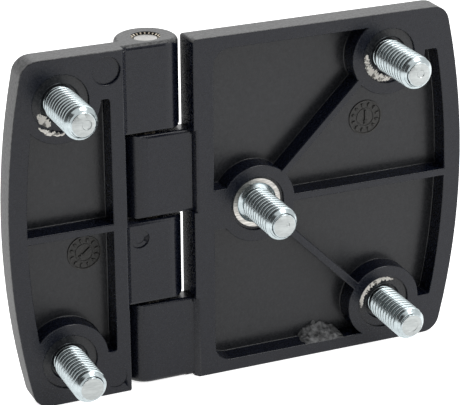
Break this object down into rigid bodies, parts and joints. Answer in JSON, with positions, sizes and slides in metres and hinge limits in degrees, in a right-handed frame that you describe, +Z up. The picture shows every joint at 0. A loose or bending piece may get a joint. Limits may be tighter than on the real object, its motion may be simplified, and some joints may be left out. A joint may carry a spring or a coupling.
{
  "type": "heavy duty hinge",
  "caption": "Heavy duty surface hinge: a narrow and a wide black moulded leaf, ribbed behind, with interleaved knuckles on a knurled steel pin and threaded zinc studs moulded into the back.",
  "frame": {"origin": "on the pin's axis, halfway up the hinge", "axes": "+Z up along the pin, +X across to the wide leaf, +Y out of the front with the barrel; the studs point to -Y"},
  "size_m": [0.0844, 0.0216, 0.0622],
  "materials": {
    "moulding": "black glass-filled moulding, finely textured",
    "zinc_steel": "bright zinc plate",
    "pin_steel": "bright turned steel, knurled"
  },
  "bodies": {
    "frame_side": {"narrow_leaf": "moulding", "narrow_stud_upper": "zinc_steel", "narrow_stud_lower": "zinc_steel", "hinge_pin": "pin_steel"},
    "door_side": {"wide_leaf": "moulding", "wide_stud_upper": "zinc_steel", "wide_stud_middle": "zinc_steel", "wide_stud_lower": "zinc_steel"}
  },
  "joints": [
    {"name": "leaf_swing", "type": "hinge", "parent": "frame_side", "child": "door_side", "pos_m": [0, 0, 0], "axis": [0, 0, 1], "range_deg": [-90, 180]}
  ]
}
